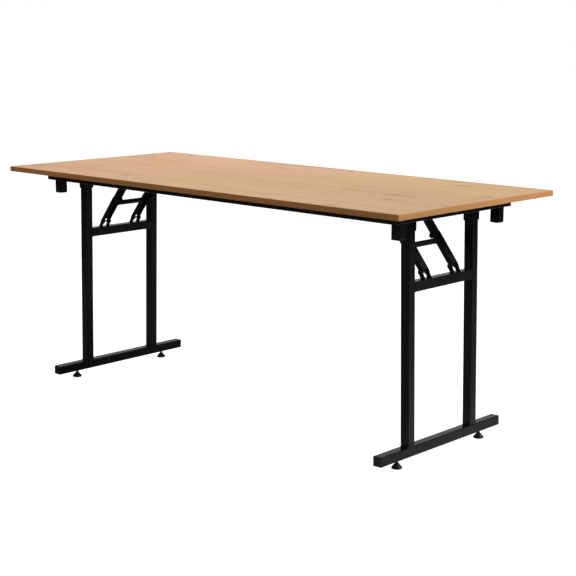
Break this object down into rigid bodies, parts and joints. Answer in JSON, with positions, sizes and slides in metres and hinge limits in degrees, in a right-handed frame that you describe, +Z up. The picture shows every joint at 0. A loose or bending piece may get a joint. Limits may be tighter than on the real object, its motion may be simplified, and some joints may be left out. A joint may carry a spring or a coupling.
{
  "type": "folding conference table",
  "caption": "Folding conference table: rectangular oak-laminate board on a black square-tube frame, fold-in leg frames held open by knee stays, and cone-shaped levelling feet.",
  "frame": {"origin": "on the floor under the middle of the board", "axes": "+X along the board towards the right leg, -Y the front long edge, +Z up"},
  "size_m": [1.6, 0.7, 0.714],
  "materials": {
    "oak_laminate": "satin laminate with grain along the board",
    "oak_edge_band": "satin edge band",
    "black_powder_coat": "satin powder coat",
    "black_plastic": "matte moulded",
    "nylon_bush": "natural nylon",
    "zinc_steel": "zinc plated",
    "black_zinc_steel": "black zinc plated thread"
  },
  "bodies": {
    "table_top": {"top_panel": "oak_laminate", "front_edge_band": "oak_edge_band", "back_edge_band": "oak_edge_band", "right_edge_band": "oak_edge_band", "left_edge_band": "oak_edge_band", "front_rail": "black_powder_coat", "back_rail": "black_powder_coat", "right_end_rail": "black_powder_coat", "left_end_rail": "black_powder_coat", "right_hinge_rail": "black_powder_coat", "left_hinge_rail": "black_powder_coat", "right_stay_rail": "black_powder_coat", "left_stay_rail": "black_powder_coat", "stacking_stubs": "black_powder_coat", "stacking_stub_caps": "black_plastic", "hinge_brackets": "black_powder_coat", "hinge_rivets": "black_powder_coat", "stay_brackets": "black_powder_coat", "stay_top_rivets": "black_powder_coat", "frame_screws": "zinc_steel"},
    "right_leg": {"right_front_upright": "black_powder_coat", "right_back_upright": "black_powder_coat", "right_crossbar": "black_powder_coat", "right_foot_bar": "black_powder_coat", "right_foot_bar_caps": "black_plastic", "right_hinge_bushes": "nylon_bush", "right_foot_nuts": "zinc_steel", "right_stay_lugs": "black_powder_coat", "right_stay_foot_rivets": "black_powder_coat"},
    "right_lower_stays": {"right_front_lower_arm": "black_powder_coat", "right_back_lower_arm": "black_powder_coat", "right_tie_tube": "black_powder_coat", "right_knee_rivets": "black_powder_coat"},
    "right_upper_stays": {"right_front_upper_arm": "black_powder_coat", "right_back_upper_arm": "black_powder_coat"},
    "front_right_foot": {"front_right_foot_stud": "black_zinc_steel", "front_right_foot_pad": "black_plastic"},
    "back_right_foot": {"back_right_foot_stud": "black_zinc_steel", "back_right_foot_pad": "black_plastic"},
    "left_leg": {"left_front_upright": "black_powder_coat", "left_back_upright": "black_powder_coat", "left_crossbar": "black_powder_coat", "left_foot_bar": "black_powder_coat", "left_foot_bar_caps": "black_plastic", "left_hinge_bushes": "nylon_bush", "left_foot_nuts": "zinc_steel", "left_stay_lugs": "black_powder_coat", "left_stay_foot_rivets": "black_powder_coat"},
    "left_lower_stays": {"left_front_lower_arm": "black_powder_coat", "left_back_lower_arm": "black_powder_coat", "left_tie_tube": "black_powder_coat", "left_knee_rivets": "black_powder_coat"},
    "left_upper_stays": {"left_front_upper_arm": "black_powder_coat", "left_back_upper_arm": "black_powder_coat"},
    "front_left_foot": {"front_left_foot_stud": "black_zinc_steel", "front_left_foot_pad": "black_plastic"},
    "back_left_foot": {"back_left_foot_stud": "black_zinc_steel", "back_left_foot_pad": "black_plastic"}
  },
  "joints": [
    {"name": "right_leg_fold", "type": "hinge", "parent": "table_top", "child": "right_leg", "pos_m": [0.6695, 0, 0.652], "axis": [0, 1, 0], "range_deg": [0, 91.45]},
    {"name": "right_lower_stay_turn", "type": "hinge", "parent": "right_leg", "child": "right_lower_stays", "pos_m": [0.66668, 0, 0.51849], "axis": [0, 1, 0], "range_deg": [0, 41.48]},
    {"name": "right_upper_stay_turn", "type": "hinge", "parent": "table_top", "child": "right_upper_stays", "pos_m": [0.5436, 0, 0.6752], "axis": [0, -1, 0], "range_deg": [0, 42.35]},
    {"name": "front_right_foot_screw", "type": "slide", "parent": "right_leg", "child": "front_right_foot", "axis": [0.0253, 0, -0.9997], "range_m": [0, 0.008]},
    {"name": "back_right_foot_screw", "type": "slide", "parent": "right_leg", "child": "back_right_foot", "axis": [0.0253, 0, -0.9997], "range_m": [0, 0.008]},
    {"name": "left_leg_fold", "type": "hinge", "parent": "table_top", "child": "left_leg", "pos_m": [-0.6695, 0, 0.652], "axis": [0, -1, 0], "range_deg": [0, 91.45]},
    {"name": "left_lower_stay_turn", "type": "hinge", "parent": "left_leg", "child": "left_lower_stays", "pos_m": [-0.66668, 0, 0.51849], "axis": [0, -1, 0], "range_deg": [0, 41.48]},
    {"name": "left_upper_stay_turn", "type": "hinge", "parent": "table_top", "child": "left_upper_stays", "pos_m": [-0.5436, 0, 0.6752], "axis": [0, 1, 0], "range_deg": [0, 42.35]},
    {"name": "front_left_foot_screw", "type": "slide", "parent": "left_leg", "child": "front_left_foot", "axis": [-0.0253, 0, -0.9997], "range_m": [0, 0.008]},
    {"name": "back_left_foot_screw", "type": "slide", "parent": "left_leg", "child": "back_left_foot", "axis": [-0.0253, 0, -0.9997], "range_m": [0, 0.008]}
  ],
  "couplings": [
    {"joint": "right_lower_stay_turn", "follows": "right_leg_fold", "ratio": 0.45354},
    {"joint": "right_upper_stay_turn", "follows": "right_leg_fold", "ratio": 0.46312},
    {"joint": "left_lower_stay_turn", "follows": "left_leg_fold", "ratio": 0.45354},
    {"joint": "left_upper_stay_turn", "follows": "left_leg_fold", "ratio": 0.46312}
  ]
}
